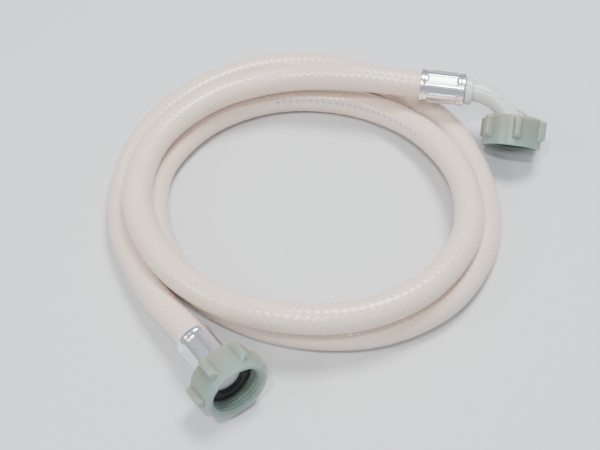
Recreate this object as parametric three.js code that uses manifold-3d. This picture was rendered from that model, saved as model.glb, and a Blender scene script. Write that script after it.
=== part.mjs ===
// A flexible water supply hose, lying in a loose coil of about two and a half turns.
// One end has a straight union, the other a 90 degree elbow union, each with a loose G 3/4 nut.
// Millimetres, +Z up, +Y away from the front. The coil and the fittings rest on z = 0.

import * as THREE from 'three';
import { mergeVertices } from 'three/addons/utils/BufferGeometryUtils.js';
import { ConvexGeometry } from 'three/addons/geometries/ConvexGeometry.js';
import Module from 'manifold-3d';

const wasm = await Module();
wasm.setup();

// Driving dimensions

const turn = 2 * Math.PI;
const gap = 0.3;                    // air between neighbouring pieces
const segments = { nut: 36, ring: 24, pipe: 20, bore: 12 };   // flats round each kind of piece

const hose = {
  outer: 7.5,                       // 15 mm outside
  bore: 5.0,                        // 10 mm inside
  linerOuter: 5.8,
  braidInner: 6.1,
  braidOuter: 6.5,
  coverInner: 6.8,
  sides: 10,
  steps: 72,
};

// The hose's centreline, from inside the straight ferrule to inside the elbow ferrule.
// The first three and the last three points are in line, so the hose is straight where it is crimped.
const route = [
  [-73, -82.5, 16.6], [-80.8, -71.7, 15.6], [-88.6, -60.9, 14.6],
  [-111, -29.5, 9.5], [-128.5, 12, 7.7], [-127.5, 60, 7.6], [-107, 100.5, 7.6], [-72, 126.5, 7.6],
  [-31.5, 133, 7.6], [8.5, 119, 7.6], [39.5, 88.5, 7.6], [56.5, 45.5, 7.6], [55, 1, 7.6],
  [34.5, -34.5, 7.6], [3.5, -52.5, 7.6], [-31, -55.5, 7.6], [-64, -46.5, 7.6], [-93.5, -24, 7.6],
  [-112, 10.5, 7.6], [-112, 50.5, 7.6], [-89.5, 85.5, 7.6], [-53, 104, 7.6],
  [-11.5, 102, 8], [24, 79.5, 11.5], [45, 39, 17], [44, -5, 21], [22, -38.5, 22.5], [-9, -55, 23],
  [-43, -57, 23], [-75, -47, 22], [-104, -22, 22], [-120, 15, 22], [-113.5, 57, 23],
  [-86.5, 88.5, 23.5], [-48.5, 102, 25.5], [-10, 99.5, 29],
  [25, 93, 29.6], [37.8, 90.8, 29.6], [50.6, 88.6, 29.6],
];

const ferrule = {
  length: 24,
  inner: 7.9,
  outer: 8.75,
  rim: 9.0,                         // rolled rim at each end
  rimLength: 2.6,
  lip: 0.5,                         // rounding of the rims
  pockets: 8,                       // pressed flats round the barrel
  pocketLength: 16.5,
  pocketWidth: 4.4,
  pocketFace: 8.25,                 // axis to the floor of a flat
};

const tail = {
  bore: 3.1,
  stem: 4.1,                        // smooth part of the barbed stem, inside the hose
  barb: 4.45,
  barbs: 4,
  barbPitch: 3.6,
  barbRise: 2.7,                    // length of a barb's slope
  barbDrop: 0.2,                    // and of its back
  lead: 0.8,                        // plain stem ahead of the first barb
  stemLength: 20,
  flange: 11.8,
  flangeThick: 2.5,
};

const nut = {
  height: 16.2,
  outer: 15.6,
  backHole: 10.4,
  backWall: 3.0,
  edge: 1.5,                        // rounding of the back edge
  threadMinor: 12.05,               // G 3/4: 26.44 major, 24.12 minor, 14 threads per inch
  threadMajor: 13.22,
  pitch: 1.814,
  threads: 5,
  chamfer: 0.4,
  runOut: 0.6,                      // past the last thread
  relief: 0.2,                      // clearance behind the thread
  lugs: 6,
  lugRoot: 14.4,                    // inside the body
  lugOuter: 18.3,
  lugBase: 2.9,                     // half widths
  lugTop: 1.2,
  lugBack: 0.9,
  lugBackSlant: 0.3,
  lugFront: 13.4,
  lugSlant: 2.4,
};

const washer = { outer: 11.75, inner: 7.5, thick: 2.6 };

const elbow = {
  collar: 7.7,
  collarLength: 4.1,
  collarEdge: 0.8,
  pipe: 5.6,
  bendRadius: 25.5,
  bendAngle: THREE.MathUtils.degToRad(53.5),
  run: 5.8,                         // straight length from the bend to the flange
  tilt: THREE.MathUtils.degToRad(39.6),    // the outlet's slope below horizontal
  tabAngle: THREE.MathUtils.degToRad(45),  // where the stop tab leaves the bend
  tabEnd: 10.4,                     // its tip's distance from the outlet's axis
  tabPlay: 0.5,                     // its tip's distance from the nut
  tabSink: 0.2,                     // how far its root is sunk in the pipe
  tabThick: 1.9,
  tabWidth: 4.2,
};

// Where things lie along a union's own axis, measured from the nut's back face
const flangeBack = nut.backWall + gap;
const flangeFront = flangeBack + tail.flangeThick;
const washerBack = flangeFront + gap;
const hoseEndBehindFlange = 0.4;
const nutTurnStraight = THREE.MathUtils.degToRad(30);
const nutTurnElbow = THREE.MathUtils.degToRad(26);

// Materials

const material = (name, color, roughness, metalness = 0) => {
  const made = new THREE.MeshStandardMaterial({ color, roughness, metalness });
  made.name = name;
  return made;
};

const pvcCover = material('pvc_cover', 0xddd4cc, 0.4);
const braidYarn = material('braid_yarn', 0xeeeeea, 0.7);
const pvcLiner = material('pvc_liner', 0xe4e2da, 0.4);
const aluminium = material('aluminium', 0xd4d6da, 0.3, 1);
const nutPlastic = material('nut_plastic', 0xa9b5ad, 0.4);
const elbowPlastic = material('elbow_plastic', 0xd3dad3, 0.35);
const tailPlastic = material('tail_plastic', 0xe8eaea, 0.4);
const rubber = material('rubber', 0x16171a, 0.6);

// Helpers

// A three.js geometry as a manifold-3d solid, and back
function toSolid(geometry) {
  const bare = geometry.clone();
  bare.deleteAttribute('normal');
  bare.deleteAttribute('uv');
  const merged = mergeVertices(bare, 1e-4);
  const vertProperties = new Float32Array(merged.attributes.position.array);
  const triVerts = new Uint32Array(merged.index.array);
  return new wasm.Manifold(new wasm.Mesh({ numProp: 3, vertProperties, triVerts }));
}

function toGeometry(solid) {
  const made = solid.getMesh();
  const geometry = new THREE.BufferGeometry();
  geometry.setAttribute('position', new THREE.BufferAttribute(new Float32Array(made.vertProperties), 3));
  geometry.setIndex(new THREE.BufferAttribute(new Uint32Array(made.triVerts), 1));
  geometry.computeVertexNormals();
  return geometry;
}

// Turns an outline of [radius, height] corners round +Z; it goes up the outside and down the inside
function turned(outline, segments) {
  const points = [...outline, outline[0]].map(([r, z]) => new THREE.Vector2(r, z));
  return new THREE.LatheGeometry(points, segments).rotateX(Math.PI / 2);
}

function ring(radius, sides) {
  return Array.from({ length: sides }, (_, i) => {
    const a = turn * i / sides;
    return new THREE.Vector2(radius * Math.cos(a), radius * Math.sin(a));
  });
}

// A round bar, or a pipe when inner is given, swept along a curve
function swept(curve, outer, inner, sides, steps) {
  const shape = new THREE.Shape(ring(outer, sides));
  if (inner) shape.holes.push(new THREE.Path(ring(inner, sides).reverse()));
  return new THREE.ExtrudeGeometry(shape, { steps, extrudePath: curve, bevelEnabled: false });
}

// A quarter round, for an outline
function quarter(centreR, centreZ, radius, from, to, steps = 3) {
  return Array.from({ length: steps + 1 }, (_, i) => {
    const a = from + (to - from) * i / steps;
    return [centreR + radius * Math.cos(a), centreZ + radius * Math.sin(a)];
  });
}

// A group whose +Z is the given axis and whose +X is as near as possible to the given side
function axisFrame(origin, axis, side) {
  const z = axis.clone().normalize();
  const x = side.clone().addScaledVector(z, -side.dot(z)).normalize();
  const y = z.clone().cross(x);
  const group = new THREE.Group();
  group.quaternion.setFromRotationMatrix(new THREE.Matrix4().makeBasis(x, y, z));
  group.position.copy(origin);
  return group;
}

function part(name, geometry, look) {
  const mesh = new THREE.Mesh(geometry, look);
  mesh.name = name;
  return mesh;
}

// Hose

const points = route.map((p) => new THREE.Vector3(...p));
const centreline = new THREE.CatmullRomCurve3(points, false, 'centripetal');
centreline.arcLengthDivisions = 2000;

function hoseLayer(name, outer, inner, look) {
  return part(name, swept(centreline, outer, inner, hose.sides, hose.steps), look);
}

// Ferrule: a crimped aluminium sleeve, from z = 0 to its length

function ferruleGeometry() {
  const { length, inner, outer, rim, rimLength, lip } = ferrule;
  let sleeve = toSolid(turned([
    [inner, 0],
    ...quarter(rim - lip, lip, lip, -Math.PI / 2, 0, 2),
    [rim, rimLength - lip],
    [outer, rimLength],
    [outer, length - rimLength],
    [rim, length - rimLength + lip],
    ...quarter(rim - lip, length - lip, lip, 0, Math.PI / 2, 2),
    [inner, length],
  ], segments.ring));
  const depth = 3;
  for (let i = 0; i < ferrule.pockets; i++) {
    const cutter = new THREE.BoxGeometry(depth, ferrule.pocketWidth, ferrule.pocketLength);
    cutter.translate(ferrule.pocketFace + depth / 2, 0, length / 2);
    cutter.rotateZ(turn * (i + 0.5) / ferrule.pockets);
    sleeve = sleeve.subtract(toSolid(cutter));
  }
  return toGeometry(sleeve);
}

// Barbed stem, as the outside of an outline that ends at the given height

function stemOutline(top) {
  const { bore, stem, barb, barbs, barbPitch, barbRise, barbDrop, lead, stemLength } = tail;
  const outline = [[bore, top - stemLength]];
  for (let i = 0; i < barbs; i++) {
    const z = top - stemLength + lead + i * barbPitch;
    outline.push([stem, z], [barb, z + barbRise], [stem, z + barbRise + barbDrop]);
  }
  return outline;
}

// Straight tail: stem and flange in one, with its flange's back at z = flangeBack
function straightTailGeometry() {
  return turned([
    ...stemOutline(flangeBack),
    [tail.stem, flangeBack],
    [tail.flange, flangeBack],
    [tail.flange, flangeFront],
    [tail.bore, flangeFront],
  ], segments.ring);
}

// Nut: mouth at z = height, thread shown as rings

function nutGeometry() {
  let solid = toSolid(turned(nutOutline(), segments.nut));
  for (let i = 0; i < nut.lugs; i++) {
    solid = solid.add(toSolid(lugGeometry().rotateZ(turn * i / nut.lugs)));
  }
  return toGeometry(solid);
}

function nutOutline() {
  const { height, outer, edge, backHole, backWall, threadMinor, threadMajor, pitch, chamfer } = nut;
  const outline = [
    [backHole, 0],
    ...quarter(outer - edge, edge, edge, -Math.PI / 2, 0),
    [outer, height - chamfer],
    [outer - chamfer, height],
    [threadMajor + chamfer, height],
    [threadMajor, height - chamfer],
  ];
  const first = height - chamfer - pitch / 2;
  const last = first - (nut.threads - 1) * pitch;
  for (let i = 0; i < nut.threads - 1; i++) {
    const z = first - i * pitch;
    outline.push([threadMinor, z], [threadMajor, z - pitch / 2]);
  }
  const behind = threadMinor + nut.relief;
  outline.push([threadMinor, last], [behind, last - nut.runOut], [behind, backWall], [backHole, backWall]);
  return outline;
}

function lugGeometry() {
  const { lugRoot, lugOuter, lugBase, lugTop, lugBack, lugBackSlant, lugFront, lugSlant } = nut;
  const corners = [-1, 1].flatMap((side) => [
    new THREE.Vector3(lugRoot, side * lugBase, lugBack),
    new THREE.Vector3(lugRoot, side * lugBase, lugFront),
    new THREE.Vector3(lugOuter, side * lugTop, lugBack + lugBackSlant),
    new THREE.Vector3(lugOuter, side * lugTop, lugFront - lugSlant),
  ]);
  return new ConvexGeometry(corners);
}

function washerGeometry() {
  const { inner, outer, thick } = washer;
  return turned([[inner, 0], [outer, 0], [outer, thick], [inner, thick]], segments.ring);
}

// Elbow

// Straight, then a bend in the X-Z plane from +Z towards +X, then straight again
class BendCurve extends THREE.Curve {
  constructor(before, radius, angle, after) {
    super();
    Object.assign(this, { before, radius, angle, after });
    this.total = before + radius * angle + after;
  }

  getPoint(t, target = new THREE.Vector3()) {
    const s = t * this.total - this.before;
    const onBend = Math.min(Math.max(s / this.radius, 0), this.angle);
    const spare = s < 0 ? s : Math.max(s - this.radius * this.angle, 0);
    const x = this.radius * (1 - Math.cos(onBend)) + spare * Math.sin(onBend);
    const z = this.radius * Math.sin(onBend) + spare * Math.cos(onBend);
    return target.set(x, 0, z);
  }
}

// The elbow's own frame: +Z along the hose out of the ferrule, +X the way the nut faces.
// z = 0 is the ferrule's front face, the bend starts where the collar ends.
const collarFront = gap + elbow.collarLength;
const flangeCentre = new THREE.Vector3(
  elbow.bendRadius * (1 - Math.cos(elbow.bendAngle)) + elbow.run * Math.sin(elbow.bendAngle),
  0,
  collarFront + elbow.bendRadius * Math.sin(elbow.bendAngle) + elbow.run * Math.cos(elbow.bendAngle),
);

function elbowGeometry() {
  const { pipe, bendRadius, bendAngle, run } = elbow;
  const past = 6;                   // the pipe runs on through the flange, and is cut off flush
  const pipeCurve = new BendCurve(1, bendRadius, bendAngle, run + past);
  const boreCurve = new BendCurve(tail.stemLength + past, bendRadius, bendAngle, run + 2 * past);
  const outside = swept(pipeCurve, pipe, 0, segments.pipe, 12).translate(0, 0, collarFront);
  const bore = swept(boreCurve, tail.bore, 0, segments.bore, 14).translate(0, 0, collarFront);
  const reach = 40;
  const beyondFlange = new THREE.BoxGeometry(reach, reach, reach)
    .translate(flangeCentre.x + tail.flangeThick + reach / 2, 0, flangeCentre.z);
  return toGeometry(toSolid(outside)
    .add(toSolid(elbowStemGeometry()))
    .add(toSolid(tabGeometry()))
    .subtract(toSolid(beyondFlange))
    .add(toSolid(elbowFlangeGeometry()))
    .subtract(toSolid(bore)));
}

// Barbed stem and collar
function elbowStemGeometry() {
  const { collar, collarLength, collarEdge } = elbow;
  return turned([
    ...stemOutline(gap),
    [tail.stem, gap],
    [collar - collarEdge / 2, gap],
    [collar, gap + collarEdge / 2],
    [collar, gap + collarLength - collarEdge],
    [collar - collarEdge, gap + collarLength],
    [tail.bore, gap + collarLength],
  ], segments.ring);
}

// Made along +Z, then turned to face the outlet's way, which is the elbow frame's +X
function elbowFlangeGeometry() {
  const { bore, flange, flangeThick } = tail;
  return turned([[bore, 0], [flange, 0], [flange, flangeThick], [bore, flangeThick]], segments.ring)
    .rotateY(Math.PI / 2)
    .translate(flangeCentre.x, 0, flangeCentre.z);
}

// Stop tab: a flat finger from the outside of the bend to just behind the nut
function tabGeometry() {
  const { pipe, bendRadius, tabAngle, tabEnd, tabPlay, tabSink, tabThick, tabWidth } = elbow;
  const rootRadius = bendRadius + pipe - tabThick / 2 - tabSink;
  const root = new THREE.Vector2(
    bendRadius - rootRadius * Math.cos(tabAngle),
    collarFront + rootRadius * Math.sin(tabAngle),
  );
  const tip = new THREE.Vector2(flangeCentre.x - flangeBack - tabPlay, flangeCentre.z + tabEnd);
  const along = tip.clone().sub(root).setLength(tabThick / 2);
  const across = new THREE.Vector2(along.y, -along.x);
  const shoulder = tip.clone().sub(along);
  const shape = new THREE.Shape([
    root.clone().add(across),
    shoulder.clone().add(across),
    tip,
    shoulder.clone().sub(across),
    root.clone().sub(across),
  ]);
  const slab = new THREE.ExtrudeGeometry(shape, { depth: tabWidth, bevelEnabled: false, steps: 1 });
  return slab.translate(0, 0, -tabWidth / 2).rotateX(Math.PI / 2);
}

// Assembly

const root = new THREE.Group();

root.add(hoseLayer('hose_liner', hose.linerOuter, hose.bore, pvcLiner));
root.add(hoseLayer('hose_braid', hose.braidOuter, hose.braidInner, braidYarn));
root.add(hoseLayer('hose_cover', hose.outer, hose.coverInner, pvcCover));

// Straight union: +Z out of the nut's mouth
const straightAxis = points[0].clone().sub(points[1]).normalize();
const straightNutBack = points[0].clone().addScaledVector(straightAxis, hoseEndBehindFlange - flangeBack);
const straightUnion = axisFrame(straightNutBack, straightAxis, new THREE.Vector3(0, 0, 1));
root.add(straightUnion);

const straightSleeve = part('straight_ferrule', ferruleGeometry(), aluminium);
straightSleeve.position.z = nut.backWall - ferrule.length;
const straightNut = part('straight_nut', nutGeometry(), nutPlastic);
straightNut.rotation.z = nutTurnStraight;
const straightSeal = part('straight_washer', washerGeometry(), rubber);
straightSeal.position.z = washerBack;
straightUnion.add(straightSleeve, straightNut, straightSeal);
straightUnion.add(part('straight_tail', straightTailGeometry(), tailPlastic));

// Elbow union: +Z along the hose, +X the way the nut faces
const last = points.length - 1;
const elbowAxis = points[last].clone().sub(points[last - 1]).normalize();
const ferruleFront = points[last].clone().addScaledVector(elbowAxis, hoseEndBehindFlange);
const sideways = new THREE.Vector3(elbowAxis.y, -elbowAxis.x, 0);
const outlet = sideways.multiplyScalar(Math.cos(elbow.tilt));
outlet.z = -Math.sin(elbow.tilt);
const elbowUnion = axisFrame(ferruleFront, elbowAxis, outlet);
root.add(elbowUnion);

const elbowSleeve = part('elbow_ferrule', ferruleGeometry(), aluminium);
elbowSleeve.position.z = -ferrule.length;
elbowUnion.add(elbowSleeve, part('elbow_body', elbowGeometry(), elbowPlastic));

// The outlet's own frame: origin at the nut's back face, +Z out of the mouth
const outletFrame = new THREE.Group();
outletFrame.position.set(flangeCentre.x - flangeBack, 0, flangeCentre.z);
outletFrame.rotation.y = Math.PI / 2;
elbowUnion.add(outletFrame);

const elbowNut = part('elbow_nut', nutGeometry(), nutPlastic);
elbowNut.rotation.z = nutTurnElbow;
const elbowSeal = part('elbow_washer', washerGeometry(), rubber);
elbowSeal.position.z = washerBack;
outletFrame.add(elbowNut, elbowSeal);

export default root;
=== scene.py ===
# A flexible water supply hose in a loose coil, with a straight union and an elbow union
from math import cos, pi, radians, sin

import bmesh
import bpy
import numpy as np
from mathutils import Matrix, Vector


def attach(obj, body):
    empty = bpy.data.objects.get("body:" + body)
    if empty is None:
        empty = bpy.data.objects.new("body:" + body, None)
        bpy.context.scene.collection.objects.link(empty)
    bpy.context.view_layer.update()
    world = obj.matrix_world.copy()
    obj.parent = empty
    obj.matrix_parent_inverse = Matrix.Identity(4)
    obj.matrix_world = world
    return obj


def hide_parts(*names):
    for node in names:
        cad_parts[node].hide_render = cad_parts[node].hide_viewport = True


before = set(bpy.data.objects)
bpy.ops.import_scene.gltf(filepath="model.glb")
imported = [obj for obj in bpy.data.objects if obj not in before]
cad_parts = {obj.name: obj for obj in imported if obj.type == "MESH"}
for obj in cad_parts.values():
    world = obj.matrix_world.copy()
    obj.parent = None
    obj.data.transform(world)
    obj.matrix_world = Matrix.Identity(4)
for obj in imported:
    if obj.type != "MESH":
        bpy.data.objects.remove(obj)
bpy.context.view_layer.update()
print("frame loaded:", len(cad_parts), "nodes")

mm = 0.001
turn = 2 * pi

# The same points as the CAD's hose, from inside the straight ferrule to inside the elbow ferrule
route = [
    (-73, -82.5, 16.6), (-80.8, -71.7, 15.6), (-88.6, -60.9, 14.6),
    (-111, -29.5, 9.5), (-128.5, 12, 7.7), (-127.5, 60, 7.6), (-107, 100.5, 7.6), (-72, 126.5, 7.6),
    (-31.5, 133, 7.6), (8.5, 119, 7.6), (39.5, 88.5, 7.6), (56.5, 45.5, 7.6), (55, 1, 7.6),
    (34.5, -34.5, 7.6), (3.5, -52.5, 7.6), (-31, -55.5, 7.6), (-64, -46.5, 7.6), (-93.5, -24, 7.6),
    (-112, 10.5, 7.6), (-112, 50.5, 7.6), (-89.5, 85.5, 7.6), (-53, 104, 7.6),
    (-11.5, 102, 8), (24, 79.5, 11.5), (45, 39, 17), (44, -5, 21), (22, -38.5, 22.5), (-9, -55, 23),
    (-43, -57, 23), (-75, -47, 22), (-104, -22, 22), (-120, 15, 22), (-113.5, 57, 23),
    (-86.5, 88.5, 23.5), (-48.5, 102, 25.5), (-10, 99.5, 29),
    (25, 93, 29.6), (37.8, 90.8, 29.6), (50.6, 88.6, 29.6),
]

# Where the parts of a union meet, from the back face of its nut, and how the ends are turned
unions = {
    "flangeBack": 3.3,
    "flangeFront": 5.8,
    "washerBack": 6.1,
    "hoseStopsShort": 0.4,        # of the flange, and of the elbow ferrule's front
    "straightNutTurn": radians(30),
    "elbowNutTurn": radians(26),
    "outletTilt": radians(39.6),
}

studio = {
    "camera": (-0.038, -0.34296, 0.43026),
    "tilt": radians(40),
    "lens": 64.8,
    "floorColour": (0.62, 0.63, 0.64, 1),
    "skyColour": (0.80, 0.86, 0.95, 1),
    "skyStrength": 0.6,
    "floorWidth": 6,
    "sensorWidth": 36,
    "lights": {                   # place, width and watts
        "key": ((0.18, 0.30, 1.05), 0.42, 15),
        "front": ((-0.24, -0.42, 1.1), 0.07, 7),
        "window": ((-0.04, -0.66, 1.0), 0.08, 2.5),
        "fill": ((-0.8, -0.3, 0.7), 0.24, 3.5),
    },
}


def makeStage():
    data = bpy.data.cameras.new("camera")
    data.lens = studio["lens"]
    data.sensor_width = studio["sensorWidth"]
    data.clip_start = 0.01
    camera = bpy.data.objects.new("camera", data)
    camera.location = studio["camera"]
    camera.rotation_euler = (studio["tilt"], 0, 0)
    bpy.context.collection.objects.link(camera)
    bpy.context.scene.camera = camera

    bpy.ops.mesh.primitive_plane_add(size=studio["floorWidth"])
    floor = bpy.context.object
    floor.name = "floor"
    paper, _, _ = newMaterial("floor_paper", {"Base Color": studio["floorColour"], "Roughness": 0.7})
    floor.data.materials.append(paper)

    world = bpy.data.worlds.new("studio")
    world.use_nodes = True
    sky = world.node_tree.nodes["Background"]
    sky.inputs["Color"].default_value = studio["skyColour"]
    sky.inputs["Strength"].default_value = studio["skyStrength"]
    bpy.context.scene.world = world
    for name, (spot, size, power) in studio["lights"].items():
        addLight(name, spot, size, power)


# A round lamp that faces the middle of the floor
def addLight(name, spot, size, power):
    data = bpy.data.lights.new(name, "AREA")
    data.shape = "DISK"
    data.size = size
    data.energy = power
    light = bpy.data.objects.new(name, data)
    light.location = spot
    light.rotation_euler = Vector(spot).to_track_quat("Z", "Y").to_euler()
    bpy.context.collection.objects.link(light)


# A node tree, and the one way that nodes are added to it
class Graph:
    def __init__(self, tree):
        self.tree = tree

    # Adds a node: its settings first, then its sockets, by name or number
    def node(self, kind, settings=None, sockets=None):
        made = self.tree.nodes.new(kind)
        for name, value in (settings or {}).items():
            setattr(made, name, value)
        self.feed(made, sockets or {})
        return made

    # Gives a node's sockets values, or links them to numbers and to other nodes' outputs
    def feed(self, node, sockets):
        for name, value in sockets.items():
            source = value.socket if isinstance(value, Num) else value
            if isinstance(source, bpy.types.NodeSocket):
                self.tree.links.new(source, node.inputs[name])
            else:
                node.inputs[name].default_value = source


# A number in a node tree, so that maths on it reads as maths
class Num:
    def __init__(self, graph, socket):
        self.graph = graph
        self.socket = socket

    def maths(self, operation, first, second):
        node = self.graph.node("ShaderNodeMath", {"operation": operation}, {0: first, 1: second})
        return Num(self.graph, node.outputs[0])

    def __add__(self, other):
        return self.maths("ADD", self, other)

    def __radd__(self, other):
        return self.maths("ADD", other, self)

    def __sub__(self, other):
        return self.maths("SUBTRACT", self, other)

    def __rsub__(self, other):
        return self.maths("SUBTRACT", other, self)

    def __mul__(self, other):
        return self.maths("MULTIPLY", self, other)

    def __rmul__(self, other):
        return self.maths("MULTIPLY", other, self)

    def __truediv__(self, other):
        return self.maths("DIVIDE", self, other)

    def __rtruediv__(self, other):
        return self.maths("DIVIDE", other, self)

    def __mod__(self, other):
        return self.maths("FLOORED_MODULO", self, other)

    # 0 below low, 1 above high, and smooth between
    def ramp(self, low, high):
        node = self.graph.node("ShaderNodeMapRange", {"interpolation_type": "SMOOTHSTEP"},
                               {"Value": self, "From Min": low, "From Max": high})
        return Num(self.graph, node.outputs["Result"])


def newMaterial(name, sockets):
    made = bpy.data.materials.new(name)
    made.use_nodes = True
    graph = Graph(made.node_tree)
    shader = made.node_tree.nodes["Principled BSDF"]
    graph.feed(shader, sockets)
    return made, graph, shader


def attribute(graph, name):
    return Num(graph, graph.node("ShaderNodeAttribute", {"attribute_name": name}).outputs["Fac"])


def noise(graph, scale, detail=2):
    points = graph.node("ShaderNodeTexCoord").outputs["Object"]
    sockets = {"Vector": points, "Scale": scale, "Detail": detail}
    return Num(graph, graph.node("ShaderNodeTexNoise", None, sockets).outputs["Fac"])


# The colour between two others; a Mix node's sockets for colours are 6 and 7, and their result is 2
def blend(graph, factor, first, second):
    node = graph.node("ShaderNodeMix", {"data_type": "RGBA"}, {0: factor, 6: first, 7: second})
    return node.outputs[2]


def bump(graph, height, distance, strength):
    sockets = {"Height": height, "Distance": distance, "Strength": strength}
    return graph.node("ShaderNodeBump", None, sockets).outputs["Normal"]


# Pale moulded plastic, a little uneven
def palePlastic(name, colour):
    made, graph, shader = newMaterial(name, {"Subsurface Weight": 0.3, "Subsurface Scale": 0.004})
    cloudy = noise(graph, scale=90)
    paler = (*(part * 1.1 for part in colour[:3]), 1)
    graph.feed(shader, {
        "Base Color": blend(graph, cloudy.ramp(0.3, 0.75), colour, paler),
        "Roughness": 0.2 + cloudy.ramp(0.3, 0.7) * 0.1,
    })
    return made


# Mesh helpers; lengths are in millimetres until an object is made

def meshObject(name, verts, faces, sharp=35):
    mesh = bpy.data.meshes.new(name)
    mesh.from_pydata((np.asarray(verts, float) * mm).tolist(), [], faces)
    mesh.update()
    made = bpy.data.objects.new(name, mesh)
    bpy.context.collection.objects.link(made)
    smooth(made, sharp)
    return made


def smooth(piece, sharp=35):
    piece.data.shade_smooth()
    piece.data.set_sharp_from_angle(angle=radians(sharp))


def setAttribute(piece, name, values):
    field = piece.data.attributes.new(name, "FLOAT", "POINT")
    field.data.foreach_set("value", np.asarray(values, np.float32))


# Quads of a grid of rows by columns; the columns wrap round, and the rows too when closed
def gridFaces(rows, columns, closed=True):
    faces = []
    for j in range(rows if closed else rows - 1):
        a, b = j * columns, (j + 1) % rows * columns
        for i in range(columns):
            k = (i + 1) % columns
            faces.append((a + i, a + k, b + k, b + i))
    return faces


# Turns an outline of [radius, height] round Z, up the outside and down the inside.
# change(radius, height, angle) may move a point in or out.
def turned(name, outline, around, change=None, sharp=35):
    outline = np.array(outline, float)
    angle = turn * np.arange(around) / around
    r = np.repeat(outline[:, :1], around, 1)
    z = np.repeat(outline[:, 1:], around, 1)
    a = np.repeat(angle[None, :], len(outline), 0)
    if change:
        r = change(r, z, a)
    verts = np.stack([r * np.cos(a), r * np.sin(a), z], -1).reshape(-1, 3)
    return meshObject(name, verts, gridFaces(len(outline), around), sharp)


def arc(r, z, radius, start, end, steps=6):
    return [[r + radius * cos(a), z + radius * sin(a)] for a in np.linspace(start, end, steps + 1)]


def line(start, end, step):
    start, end = np.array(start, float), np.array(end, float)
    count = max(2, int(np.linalg.norm(end - start) / step) + 1)
    return (start + np.linspace(0, 1, count)[:, None] * (end - start)).tolist()


def ease(x, low, high):
    t = np.clip((x - low) / (high - low), 0, 1)
    return t * t * (3 - 2 * t)


# Evenly spaced points on the centripetal curve through the route, which the CAD's hose follows too
def alongRoute(points, spacing):
    perStretch = 60
    k = np.array(points, float)
    k = np.vstack([2 * k[0] - k[1], k, 2 * k[-1] - k[-2]])
    dense = []
    for p0, p1, p2, p3 in zip(k, k[1:], k[2:], k[3:]):
        d0, d1, d2 = (np.linalg.norm(b - a) ** 0.5 for a, b in ((p0, p1), (p1, p2), (p2, p3)))
        m1 = ((p1 - p0) / d0 - (p2 - p0) / (d0 + d1) + (p2 - p1) / d1) * d1
        m2 = ((p2 - p1) / d1 - (p3 - p1) / (d1 + d2) + (p3 - p2) / d2) * d1
        t = np.linspace(0, 1, perStretch, endpoint=False)[:, None]
        dense.append(p1 + m1 * t + (3 * (p2 - p1) - 2 * m1 - m2) * t**2 + (2 * (p1 - p2) + m1 + m2) * t**3)
    dense = np.vstack([*dense, k[-2:-1]])
    reached = np.concatenate([[0], np.cumsum(np.linalg.norm(np.diff(dense, axis=0), axis=1))])
    stations = np.linspace(0, reached[-1], round(reached[-1] / spacing) + 1)
    return np.stack([np.interp(stations, reached, dense[:, i]) for i in range(3)], -1), reached[-1]


# Two directions across a path at each of its points, carried along without twist
def acrossPath(path):
    ahead = np.gradient(path, axis=0)
    ahead /= np.linalg.norm(ahead, axis=1)[:, None]
    side = np.cross(ahead[0], (0, 0, 1) if abs(ahead[0][2]) < 0.9 else (0, 1, 0))
    sides = []
    for direction in ahead:
        side = side - direction * np.dot(side, direction)
        side /= np.linalg.norm(side)
        sides.append(side)
    sides = np.array(sides)
    return sides, np.cross(ahead, sides)


# Rings of points round a path, at one radius or at one for each point
def rings(path, across, around, radius):
    angle = (turn * np.arange(around) / around)[:, None]
    first, second = (sides[:, None] for sides in across)
    out = first * np.cos(angle) + second * np.sin(angle)
    return (path[:, None] + out * radius).reshape(-1, 3)


# A round bar along a path, closed at both ends
def bar(name, path, radius, around):
    verts = rings(path, acrossPath(path), around, radius)
    ends = [tuple(range(around)), tuple(range(len(verts) - around, len(verts)))]
    return outward(meshObject(name, verts, gridFaces(len(path), around, closed=False) + ends))


def outward(piece):
    shape = bmesh.new()
    shape.from_mesh(piece.data)
    bmesh.ops.recalc_face_normals(shape, faces=shape.faces)
    shape.to_mesh(piece.data)
    shape.free()
    return piece


# Swaps an object's mesh for what its modifiers make of it
def settle(piece, sharp=35):
    bpy.context.view_layer.update()
    mesh = bpy.data.meshes.new_from_object(piece.evaluated_get(bpy.context.evaluated_depsgraph_get()))
    piece.modifiers.clear()
    piece.data = mesh
    smooth(piece, sharp)
    return piece


def bevelled(piece, width, segments):
    bevel = piece.modifiers.new("bevel", "BEVEL")
    bevel.width = width * mm
    bevel.segments = segments
    return settle(piece)


def combine(piece, other, operation, sharp=35):
    modifier = piece.modifiers.new("combine", "BOOLEAN")
    modifier.operation = operation
    modifier.solver = "EXACT"
    modifier.object = other
    settle(piece, sharp)
    bpy.data.objects.remove(other)
    return piece


def lift(distance):
    return Matrix.Translation((0, 0, distance))


# Places a piece that was made about its own axis, gives it its look, and hands it to the frame
def place(piece, matrix, look, body, node):
    inMetres = matrix.copy()
    inMetres.translation = matrix.translation * mm
    piece.data.transform(inMetres)
    finish(piece, look, body, node)
    return piece


def finish(piece, look, body, node):
    piece.data.materials.clear()
    piece.data.materials.append(look)
    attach(piece, body)
    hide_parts(node)


# A frame with its Z along an axis and its X as near as it can be to a direction
def frameAt(origin, axis, side):
    z = axis.normalized()
    x = (side - z * side.dot(z)).normalized()
    y = z.cross(x)
    turnTo = Matrix((x, y, z)).transposed().to_4x4()
    return Matrix.Translation(origin) @ turnTo


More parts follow.
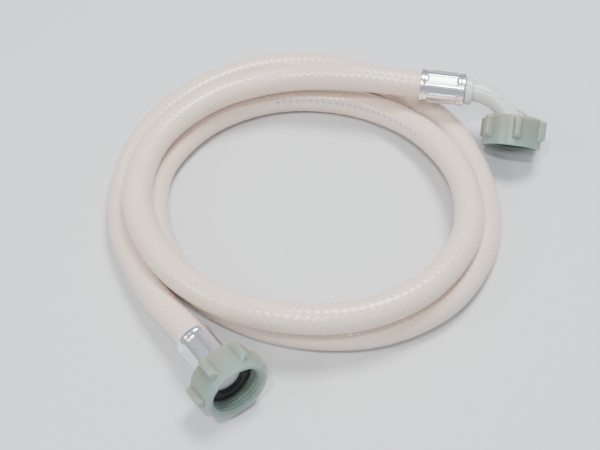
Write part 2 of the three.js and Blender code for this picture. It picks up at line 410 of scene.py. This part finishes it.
hose = {
    "outer": 7.28,
    "coverInner": 6.8,
    "braidOuter": 6.5,
    "braidInner": 6.1,
    "linerOuter": 5.8,
    "bore": 5.0,
    "relief": 0.24,               # how far the diamonds stand out
    "diamond": 4.0,               # along the hose
    "diamondsAround": 10,
    "perDiamond": (5, 5),         # points of mesh to one diamond, along and around
    "coarser": 8,                 # rings outside to one inside
    "hiddenStep": 3,              # the same things for the yarn and the liner: between two rings,
    "hiddenAround": 24,           # points to a ring,
    "hiddenCoarser": 4,           # and rings outside to one inside
    "cordStep": 4,                # rings of the cover to one point of the cord's path
    "colour": (0.79, 0.64, 0.535, 1),
    # painted shade: the colour given to the grooves of the relief
    "grooveShadeColour": (0.755, 0.60, 0.495, 1),
    "cloudColour": (0.77, 0.65, 0.58, 1),
    "yarnColour": (0.82, 0.82, 0.80, 1),
    "linerColour": (0.72, 0.71, 0.66, 1),
    "roughness": 0.25,
}

# Lines of small dashes along one side of the hose, in place of words
dashes = {
    "from": (-53, 104, 7.6),      # where a line begins, and the way that it faces there
    "facing": (0.35, -0.78, 0.5),
    "length": 2.3,
    "step": 4,
    "line": 95.7,
    "nextLine": 900,
    "width": 1.8,
    "edge": 0.4,
    "colour": (0.20, 0.36, 0.58, 1),
    "strength": 0.5,
}


# Cream PVC, with painted shade in the grooves of the relief
def creamVinyl():
    made, graph, shader = newMaterial("cream_vinyl", {
        "Subsurface Weight": 0.12, "Subsurface Scale": 0.002, "Subsurface Radius": (1.0, 0.7, 0.5)})
    relief = attribute(graph, "relief")
    # Painted shade: the grooves of the relief get a darker colour than the pillows between them
    colour = blend(graph, relief.ramp(0.05, 0.75), hose["grooveShadeColour"], hose["colour"])
    colour = blend(graph, noise(graph, scale=30).ramp(0.35, 0.75) * 0.2, colour, hose["cloudColour"])
    graph.feed(shader, {
        "Base Color": blend(graph, inkAmount(graph), colour, dashes["colour"]),
        "Roughness": hose["roughness"] - relief * 0.07,
    })
    return made


# How much ink there is, from the distances along the hose and round it from where the print is
def inkAmount(graph):
    along, off = attribute(graph, "along"), attribute(graph, "off")
    soft = dashes["edge"] / 2
    inDash = 1 - (along % dashes["step"]).ramp(dashes["length"] - soft, dashes["length"] + soft)
    inLine = 1 - (along % dashes["nextLine"]).ramp(dashes["line"], dashes["line"] + soft)
    onLine = 1 - off.ramp(dashes["width"] / 2 - soft, dashes["width"] / 2 + soft)
    return inDash * inLine * onLine * dashes["strength"]


# A hose's wall: a fine outside, a coarser inside, and a ring at each end
def wall(name, outer, inner, spacing, around, skip, pattern=None):
    path, length = alongRoute(route, spacing)
    path = path[: (len(path) - 1) // skip * skip + 1]
    across = acrossPath(path)
    height = pattern(len(path), around) if pattern else np.zeros((len(path), around))
    outside = rings(path, across, around, (outer + height)[..., None])
    coarse = path[::skip]
    inside = rings(coarse, [sides[::skip] for sides in across], around // 2, inner)
    faces = wallFaces(len(path), len(coarse), around)
    piece = outward(meshObject(name, np.vstack([outside, inside]), faces, sharp=60))
    return piece, path, length, height, across


# Faces of a wall whose inside has fewer rings, and half as many points to a ring
def wallFaces(outRings, inRings, around):
    half, start = around // 2, outRings * around
    faces = gridFaces(outRings, around, closed=False)
    faces += [tuple(start + v for v in reversed(face)) for face in gridFaces(inRings, half, closed=False)]
    lastOut, lastIn = start - around, start + (inRings - 1) * half
    for i in range(half):
        k = (i + 1) % half
        even, odd, nextEven = 2 * i, 2 * i + 1, 2 * k
        faces += [(even, start + i, odd), (odd, start + i, start + k), (odd, start + k, nextEven)]
        faces += [(lastOut + even, lastOut + odd, lastIn + i), (lastOut + odd, lastIn + k, lastIn + i)]
        faces += [(lastOut + odd, lastOut + nextEven, lastIn + k)]
    return faces


# Pillows between two sets of crossing helical grooves, where the yarns under the cover cross
def diamonds(rows, around):
    perAlong, perAround = hose["perDiamond"]
    lengthways = np.cos(turn * np.arange(rows) / perAlong)[:, None]
    roundways = np.cos(turn * np.arange(around) / perAround)[None, :]
    return hose["relief"] * np.abs(lengthways - roundways) / 2


def makeHose():
    perAlong, perAround = hose["perDiamond"]
    around = hose["diamondsAround"] * perAround
    cover, path, length, height, across = wall(
        "hose_cover_skin", hose["outer"], hose["coverInner"], hose["diamond"] / perAlong, around,
        hose["coarser"], diamonds)
    markCover(cover, path, height, across)
    finish(cover, creamVinyl(), "hose_and_unions", "hose_cover")

    hidden = (hose["hiddenStep"], hose["hiddenAround"], hose["hiddenCoarser"])
    braid, *_ = wall("hose_braid_yarn", hose["braidOuter"], hose["braidInner"], *hidden)
    yarn, _, _ = newMaterial("white_yarn", {"Base Color": hose["yarnColour"], "Roughness": 0.75})
    finish(braid, yarn, "hose_and_unions", "hose_braid")
    liner, *_ = wall("hose_liner_tube", hose["linerOuter"], hose["bore"], *hidden)
    clear = palePlastic("liner_vinyl", hose["linerColour"])
    finish(liner, clear, "hose_and_unions", "hose_liner")
    print("hose: %.3f m, %d faces" % (length * mm, len(cover.data.polygons)))
    return cover, braid, liner, path, length


# The cover's own numbers: its relief, and the distances along and round it from the print, in millimetres
def markCover(cover, path, height, across):
    count, outside, farOff = len(cover.data.vertices), height.size, 20.0
    around = height.shape[1]
    relief, along, off = np.zeros(count), np.zeros(count), np.full(count, farOff)
    relief[:outside] = height.ravel() / hose["relief"]
    nearest = np.argmin(np.linalg.norm(path - dashes["from"], axis=1))
    spacing = hose["diamond"] / hose["perDiamond"][0]
    along[:outside] = np.repeat((np.arange(len(path)) - nearest) * spacing, around)
    first, second = (sides[nearest] @ dashes["facing"] for sides in across)
    angle = turn * np.arange(around) / around
    fromPrint = np.abs((angle - np.arctan2(second, first) + pi) % turn - pi)
    off[:outside] = np.tile(fromPrint * hose["outer"], len(path))
    setAttribute(cover, "relief", relief)
    setAttribute(cover, "along", along)
    setAttribute(cover, "off", off)


ferrule = {
    "length": 24,
    "inner": 7.9,
    "outer": 8.75,
    "rim": 9.0,                   # the thicker band at each end
    "rimLength": 2.6,
    "rimSlope": 0.9,
    "lip": 0.42,
    "pockets": 8,
    "pocketLength": 16.7,
    "pocketWidth": 4.7,
    "pocketFace": 8.2,            # from the axis to a pressed flat
    "pocketEnd": 1.0,             # the slope at a flat's ends, and at its sides
    "pocketSide": 0.6,
    "colour": (0.88, 0.89, 0.92, 1),
    "flatColour": (0.72, 0.73, 0.77, 1),
}


# Bright where it is drawn, duller in the pressed flats
def pressedAluminium():
    made, graph, shader = newMaterial("pressed_aluminium", {"Metallic": 1.0})
    flat = attribute(graph, "pressed")
    grain = noise(graph, scale=900, detail=3)
    graph.feed(shader, {
        "Base Color": blend(graph, flat, ferrule["colour"], ferrule["flatColour"]),
        "Roughness": 0.16 + flat * 0.16 + grain.ramp(0.3, 0.8) * 0.08,
        "Normal": bump(graph, grain, distance=0.00003, strength=0.5),
    })
    return made


# 1 in the middle of a pressed flat and 0 outside it, and the radius of the flat
def pressed(r, z, a):
    oneTurn = turn / ferrule["pockets"]
    fromMiddle = (a - oneTurn / 2) % oneTurn
    nearest = np.minimum(fromMiddle, oneTurn - fromMiddle)
    width, reach = ferrule["pocketWidth"] / 2, ferrule["pocketLength"] / 2
    sideways = 1 - ease(np.abs(r * np.sin(nearest)), width - ferrule["pocketSide"], width)
    lengthways = 1 - ease(np.abs(z - ferrule["length"] / 2), reach - ferrule["pocketEnd"], reach)
    flat = np.minimum(ferrule["pocketFace"] / np.cos(nearest), r)
    outside = r > (ferrule["inner"] + ferrule["outer"]) / 2
    return sideways * lengthways * outside, flat


def pressIn(r, z, a):
    amount, flat = pressed(r, z, a)
    return r + (flat - r) * amount


# The slope between a band and the thinner middle; t runs from 0 to 1 up the ferrule
def bandSlope(radiusAt, bottom, start, end):
    return [[radiusAt(t), bottom + ferrule["rimSlope"] * t] for t in np.linspace(start, end, 6)]


def makeFerrule(name, matrix, look, node):
    length, rim, outer, lip = (ferrule[key] for key in ("length", "rim", "outer", "lip"))
    band, slope = ferrule["rimLength"], ferrule["rimSlope"]
    inset, step = 0.3, 0.35
    outline = [
        [ferrule["inner"], 0],
        *arc(rim - lip, lip, lip, -pi / 2, 0),
        [rim, band - slope],
        *bandSlope(lambda t: rim - (rim - outer) * ease(t, 0, 1), band - slope, 0.15, 1),
        *line([outer, band + inset], [outer, length - band - inset], step),
        *bandSlope(lambda t: outer + (rim - outer) * ease(t, 0, 1), length - band, 0, 0.85),
        [rim, length - band + slope],
        *arc(rim - lip, length - lip, lip, 0, pi / 2),
        [ferrule["inner"], length],
    ]
    piece = turned(name, outline, around=192, change=pressIn, sharp=50)
    points = np.array([v.co for v in piece.data.vertices]) / mm
    r = np.maximum(np.hypot(points[:, 0], points[:, 1]), outer)
    amount, _ = pressed(r, points[:, 2], np.arctan2(points[:, 1], points[:, 0]))
    setAttribute(piece, "pressed", amount)
    return place(piece, matrix, look, "hose_and_unions", node)


nut = {
    "height": 16.2,
    "outer": 15.6,
    "backHole": 10.4,
    "backWall": 3.0,
    "edge": 1.5,
    "lip": 0.35,
    "threadMinor": 12.05,
    "threadMajor": 13.22,
    "pitch": 1.814,
    "threadEnd": 7.0,
    "threadFoot": 0.3,            # plain bore behind the thread, before the groove's slope
    "threadStep": 0.13,           # points of mesh along the thread
    "threadInset": 0.1,
    "countersink": 0.15,          # the rim's hole, past the thread's major radius
    "runOut": 1.2,
    "mouth": 1.4,                 # how deep the thread is opened out at the rim
    "relief": 0.2,                # the groove behind the thread, past its crests, and its slope
    "reliefSlope": 0.5,
    "holeEdge": 0.25,
    "lugs": 6,
    "lugOuter": 18.3,
    "lugBase": 2.9,
    "lugTop": 1.2,
    "lugBack": 0.9,
    "lugBackSlant": 0.3,
    "lugFront": 13.4,
    "lugSlant": 2.4,
    "lugRoot": 1.2,               # how far a lug goes into the body
    "lugEdge": 0.6,
    "backColour": (0.275, 0.285, 0.212, 1),
    # painted reflection: the blue-green tint at the rim end of a nut
    "rimReflectionColour": (0.222, 0.315, 0.285, 1),
    "cloudColour": (0.285, 0.322, 0.264, 1),
}


# Milky nylon, browner at the back of a nut and greener at its rim, where the green is a painted reflection
def nutNylon():
    made, graph, shader = newMaterial("nut_nylon", {
        "Subsurface Weight": 0.75, "Subsurface Scale": 0.009, "Subsurface Radius": (0.9, 1.0, 0.8),
        "Transmission Weight": 0.15})
    cloudy = noise(graph, scale=120)
    grain = noise(graph, scale=2500, detail=3)
    # Painted reflection: the nut turns blue-green from its back towards its rim, near the floor
    colour = blend(graph, attribute(graph, "height").ramp(0, 1), nut["backColour"], nut["rimReflectionColour"])
    graph.feed(shader, {
        "Base Color": blend(graph, cloudy.ramp(0.3, 0.8) * 0.35, colour, nut["cloudColour"]),
        "Roughness": 0.28 + cloudy.ramp(0.3, 0.7) * 0.12,
        "Normal": bump(graph, grain, distance=0.00003, strength=0.35),
    })
    return made


# Cuts a right-hand thread into the nut's bore, open at the rim and running out at its end
def cutThread(r, z, a):
    minor, major = nut["threadMinor"], nut["threadMajor"]
    start, end = nut["height"] - nut["lip"], nut["threadEnd"] - nut["lip"]
    inThread = (r < major + nut["countersink"]) & (z <= start - nut["threadInset"] / 2) & (z >= end)
    wave = 0.5 - 0.5 * np.cos(turn * (z / nut["pitch"] - a / turn))
    groove = wave**0.8 * ease(z, end, end + nut["runOut"])
    mouth = ease(z, nut["height"] - nut["mouth"], start)
    return np.where(inThread, minor + (major - minor) * np.maximum(groove, mouth), r)


def nutBody(name):
    height, outer, edge, lip, hole = (nut[key] for key in ("height", "outer", "edge", "lip", "backHole"))
    minor, major, end = (nut[key] for key in ("threadMinor", "threadMajor", "threadEnd"))
    clear, inset = minor + nut["relief"], nut["threadInset"]
    foot = end - nut["threadFoot"]
    outline = [
        [hole, nut["holeEdge"]],
        [hole + nut["holeEdge"], 0],
        *arc(outer - edge, edge, edge, -pi / 2, 0, 8),
        *line([outer, edge + 1], [outer, height - lip - 1], 2),
        *arc(outer - lip, height - lip, lip, 0, pi / 2, 5),
        *arc(major + lip + nut["countersink"], height - lip, lip, pi / 2, pi, 5),
        *line([major + inset, height - lip - inset], [minor, foot], nut["threadStep"]),
        [clear, foot - nut["reliefSlope"]],
        [clear, nut["backWall"]],
        [hole, nut["backWall"]],
    ]
    return turned(name, outline, around=144, change=cutThread, sharp=40)


# One gripping lug: wide at its root, narrow outside, and slanted at the front
def lugShape():
    root, top, back = nut["outer"] - nut["lugRoot"], nut["lugOuter"], nut["lugBack"]
    verts = []
    for side in (-1, 1):
        base, tip = side * nut["lugBase"], side * nut["lugTop"]
        verts += [(root, base, back), (root, base, nut["lugFront"])]
        verts += [(top, tip, nut["lugFront"] - nut["lugSlant"]), (top, tip, back + nut["lugBackSlant"])]
    faces = [(0, 1, 2, 3), (7, 6, 5, 4), (0, 4, 5, 1), (1, 5, 6, 2), (2, 6, 7, 3), (3, 7, 4, 0)]
    return bevelled(outward(meshObject("lug", verts, faces)), nut["lugEdge"], segments=4)


# Geometry nodes: copies of an object in a ring about Z, joined on to the mesh that comes in
def ringTree(look):
    tree = bpy.data.node_groups.new("ring_of_lugs", "GeometryNodeTree")
    face = tree.interface
    face.new_socket("Geometry", in_out="INPUT", socket_type="NodeSocketGeometry")
    lugId = face.new_socket("Lug", in_out="INPUT", socket_type="NodeSocketObject").identifier
    countId = face.new_socket("Count", in_out="INPUT", socket_type="NodeSocketInt").identifier
    face.new_socket("Geometry", in_out="OUTPUT", socket_type="NodeSocketGeometry")
    graph = Graph(tree)
    given = graph.node("NodeGroupInput").outputs
    count = Num(graph, given["Count"])

    points = graph.node("GeometryNodeMeshLine", None, {"Count": count, "Offset": (0, 0, 0)})
    index = Num(graph, graph.node("GeometryNodeInputIndex").outputs["Index"])
    spin = graph.node("ShaderNodeCombineXYZ", None, {"Z": index / count * turn})
    lug = graph.node("GeometryNodeObjectInfo", None, {"Object": given["Lug"]})
    lugs = graph.node("GeometryNodeInstanceOnPoints", None, {
        "Points": points.outputs["Mesh"], "Instance": lug.outputs["Geometry"], "Rotation": spin.outputs[0]})
    real = graph.node("GeometryNodeRealizeInstances", None, {"Geometry": lugs.outputs["Instances"]})
    union = graph.node("GeometryNodeMeshBoolean", {"operation": "UNION", "solver": "EXACT"})
    graph.feed(union, {"Mesh 2": given["Geometry"]})
    graph.feed(union, {"Mesh 2": real.outputs["Geometry"]})
    paint = graph.node("GeometryNodeSetMaterial", None, {"Geometry": union.outputs["Mesh"], "Material": look})
    graph.node("NodeGroupOutput", None, {"Geometry": paint.outputs["Geometry"]})
    return tree, lugId, countId


def makeNut(name, matrix, look, body, node, ring):
    tree, lugId, countId, lug = ring
    piece = nutBody(name)
    modifier = piece.modifiers.new("lugs", "NODES")
    modifier.node_group = tree
    modifier[lugId] = lug
    modifier[countId] = nut["lugs"]
    piece.update_tag()
    settle(piece, sharp=38)
    heights = np.array([v.co.z for v in piece.data.vertices]) / (nut["height"] * mm)
    setAttribute(piece, "height", heights)
    return place(piece, matrix, look, body, node)


washer = {
    "inner": 7.5,
    "outer": 11.75,
    "thick": 2.6,
    "lip": 0.2,
    "colour": (0.012, 0.012, 0.013, 1),
    "dustColour": (0.035, 0.035, 0.038, 1),
}


def blackRubber():
    made, graph, shader = newMaterial("black_rubber", {"Roughness": 0.5})
    dust = noise(graph, scale=1500, detail=3)
    graph.feed(shader, {
        "Base Color": blend(graph, dust.ramp(0.45, 0.8), washer["colour"], washer["dustColour"]),
        "Normal": bump(graph, dust, distance=0.00004, strength=0.6),
    })
    return made


def makeWasher(name, matrix, look, node):
    inner, outer, thick, lip = (washer[key] for key in ("inner", "outer", "thick", "lip"))
    outline = [
        *arc(inner + lip, lip, lip, pi, 3 * pi / 2, 3),
        *arc(outer - lip, lip, lip, -pi / 2, 0, 3),
        *arc(outer - lip, thick - lip, lip, 0, pi / 2, 3),
        *arc(inner + lip, thick - lip, lip, pi / 2, pi, 3),
    ]
    return place(turned(name, outline, around=96), matrix, look, "hose_and_unions", node)


tail = {
    "bore": 3.1,
    "stem": 4.1,
    "stemLength": 20,
    "barb": 4.45,
    "barbs": 4,
    "firstBarb": 0.8,
    "barbStep": 3.6,
    "barbSlope": 2.7,
    "barbBack": 0.2,
    "flange": 11.8,
    "flangeThick": 2.5,
    "lip": 0.25,
    "colour": (0.74, 0.76, 0.75, 1),
}


# The barbed stem's outline, from its far end up to a height
def stemOutline(top):
    low = top - tail["stemLength"]
    outline = [[tail["bore"], low]]
    for i in range(tail["barbs"]):
        foot = low + tail["firstBarb"] + i * tail["barbStep"]
        crest = foot + tail["barbSlope"]
        outline += [[tail["stem"], foot], [tail["barb"], crest], [tail["stem"], crest + tail["barbBack"]]]
    return [*outline, [tail["stem"], top]]


# The outside edge of a flange, from its back to its front
def flangeEdge(back, front):
    lip = tail["lip"]
    edge = tail["flange"] - lip
    return [*arc(edge, back + lip, lip, -pi / 2, 0, 3), *arc(edge, front - lip, lip, 0, pi / 2, 3)]


def makeTail(matrix, look):
    low, high, lip = unions["flangeBack"], unions["flangeFront"], tail["lip"]
    mouth = arc(tail["bore"] + lip, high - lip, lip, pi / 2, pi, 3)
    outline = [*stemOutline(low), *flangeEdge(low, high), *mouth]
    piece = turned("straight_tail_moulding", outline, around=72)
    return place(piece, matrix, look, "hose_and_unions", "straight_tail")


elbow = {
    "gap": 0.3,                   # between the ferrule and the collar
    "collar": 7.7,
    "collarLength": 4.1,
    "pipe": 5.6,
    "bendRadius": 25.5,
    "bendAngle": radians(53.5),
    "run": 5.8,                   # straight, from the bend to the flange
    "tabAngle": radians(45),
    "tabEnd": 10.4,
    "tabThick": 1.9,
    "tabWidth": 4.2,
    "tabSunk": 0.2,
    "tabEdge": 0.3,
    "tabToNut": 0.5,
    "collarBack": 0.4,            # the rounding of the collar's edges
    "collarFront": 1.0,
    "colour": (0.58, 0.61, 0.58, 1),
}
collarFront = elbow["gap"] + elbow["collarLength"]


# Points of the elbow's middle line, in its own X-Z plane: straight, bend, straight
def bendPath(before, after, start, steps=40):
    radius, angle = elbow["bendRadius"], elbow["bendAngle"]
    points = [(0, 0, -before)]
    points += [(radius * (1 - cos(a)), 0, radius * sin(a)) for a in np.linspace(0, angle, steps)]
    x, _, z = points[-1]
    points += [(x + s * sin(angle), 0, z + s * cos(angle)) for s in (after / 2, after)]
    return np.array(points) + (0, 0, start)


def flangeCentre():
    radius, angle, run = elbow["bendRadius"], elbow["bendAngle"], elbow["run"]
    across = radius * (1 - cos(angle)) + run * sin(angle)
    ahead = collarFront + radius * sin(angle) + run * cos(angle)
    return across, ahead


# The stop tab: a flat finger from the outside of the bend to just behind the nut
def tabShape():
    across, ahead = flangeCentre()
    half, angle = elbow["tabThick"] / 2, elbow["tabAngle"]
    depth = elbow["bendRadius"] + elbow["pipe"] - half - elbow["tabSunk"]
    start = Vector((elbow["bendRadius"] - depth * cos(angle), collarFront + depth * sin(angle)))
    end = Vector((across - unions["flangeBack"] - elbow["tabToNut"], ahead + elbow["tabEnd"]))
    along = (end - start).normalized()
    side = Vector((along.y, -along.x)) * half
    back = along * half
    corners = [start + side, end - back + side, end, end - back - side, start - side]
    verts = [(c.x, y * elbow["tabWidth"] / 2, c.y) for y in (-1, 1) for c in corners]
    count = len(corners)
    faces = [tuple(range(count)), tuple(reversed(range(count, 2 * count)))]
    faces += [(i, (i + 1) % count, count + (i + 1) % count, count + i) for i in range(count)]
    return bevelled(outward(meshObject("tab", verts, faces)), elbow["tabEdge"], segments=2)


# A block that takes away whatever passes the outlet's flange
def beyondFlange(across, ahead):
    reach, overlap = 40, 0.3
    low = across + tail["flangeThick"] - overlap
    sides = (-reach, reach)
    verts = [(low + dx, dy, ahead + dz) for dx in (0, reach) for dy in sides for dz in sides]
    faces = [(0, 1, 3, 2), (4, 6, 7, 5), (0, 4, 5, 1), (2, 3, 7, 6), (0, 2, 6, 4), (1, 5, 7, 3)]
    return outward(meshObject("beyond", verts, faces))


def makeElbow(matrix, look):
    across, ahead = flangeCentre()
    overlap, past, farPast = 1, 6, 8
    pipe = bendPath(overlap, elbow["run"] + past, collarFront)
    piece = bar("elbow_moulding", pipe, elbow["pipe"], around=64)
    combine(piece, tabShape(), "UNION")
    combine(piece, beyondFlange(across, ahead), "DIFFERENCE")

    lip, shoulder = elbow["collarBack"], elbow["collarFront"]
    stem = turned("stem", [
        *stemOutline(elbow["gap"]),
        *arc(elbow["collar"] - lip, elbow["gap"] + lip, lip, -pi / 2, 0, 4),
        *arc(elbow["collar"] - shoulder, collarFront - shoulder, shoulder, 0, pi / 2, 6),
        [tail["bore"], collarFront],
    ], around=72)
    combine(piece, stem, "UNION")

    inside, thick = tail["bore"] - overlap, tail["flangeThick"]
    flange = turned("flange", [[inside, 0], *flangeEdge(0, thick), [inside, thick]], around=96)
    towardsOutlet = Matrix.Rotation(pi / 2, 4, "Y")
    flange.data.transform(Matrix.Translation((across * mm, 0, ahead * mm)) @ towardsOutlet)
    combine(piece, flange, "UNION")
    through = bendPath(tail["stemLength"] + farPast, elbow["run"] + farPast, collarFront)
    justInside = tail["bore"] - 0.01
    combine(piece, bar("bore", through, justInside, around=48), "DIFFERENCE", sharp=40)
    return place(piece, matrix, look, "hose_and_unions", "elbow_body")


# The frames of the two ends: Z along the straight nut, along the elbow ferrule, and along the elbow nut
def unionFrames():
    first, second, *_, beforeLast, last = (Vector(p) for p in route)
    straightAxis = (first - second).normalized()
    nutBack = first + straightAxis * (unions["hoseStopsShort"] - unions["flangeBack"])
    straight = frameAt(nutBack, straightAxis, Vector((0, 0, 1)))
    elbowAxis = (last - beforeLast).normalized()
    outlet = Vector((elbowAxis.y, -elbowAxis.x, 0)) * cos(unions["outletTilt"])
    outlet.z = -sin(unions["outletTilt"])
    entry = frameAt(last + elbowAxis * unions["hoseStopsShort"], elbowAxis, outlet)
    across, ahead = flangeCentre()
    elbowNutBack = Matrix.Translation((across - unions["flangeBack"], 0, ahead))
    return straight, entry, entry @ elbowNutBack @ Matrix.Rotation(pi / 2, 4, "Y")


makeStage()
cover, braid, liner, path, length = makeHose()
straightEnd, elbowEntry, elbowOutlet = unionFrames()

metal = pressedAluminium()
straightSleeveBack = straightEnd @ lift(nut["backWall"] - ferrule["length"])
pieces = [
    makeFerrule("straight_sleeve", straightSleeveBack, metal, "straight_ferrule"),
    makeFerrule("elbow_sleeve", elbowEntry @ lift(-ferrule["length"]), metal, "elbow_ferrule"),
]
print("ferrules made")

nylon = nutNylon()
lug = lugShape()
ring = (*ringTree(nylon), lug)
straightTurned = straightEnd @ Matrix.Rotation(unions["straightNutTurn"], 4, "Z")
elbowTurned = elbowOutlet @ Matrix.Rotation(unions["elbowNutTurn"], 4, "Z")
pieces += [
    makeNut("straight_nut_moulding", straightTurned, nylon, "straight_union_nut", "straight_nut", ring),
    makeNut("elbow_nut_moulding", elbowTurned, nylon, "elbow_union_nut", "elbow_nut", ring),
]
bpy.data.objects.remove(lug)
print("nuts made")

rubber = blackRubber()
toWasher = lift(unions["washerBack"])
pieces += [
    makeWasher("straight_seal", straightEnd @ toWasher, rubber, "straight_washer"),
    makeWasher("elbow_seal", elbowOutlet @ toWasher, rubber, "elbow_washer"),
    makeTail(straightEnd, palePlastic("tail_nylon", tail["colour"])),
    makeElbow(elbowEntry, palePlastic("elbow_nylon", elbow["colour"])),
]
print("washers, tail and elbow made")

centres = (path[::hose["cordStep"]] * mm).tolist()
round(length * mm, 3)
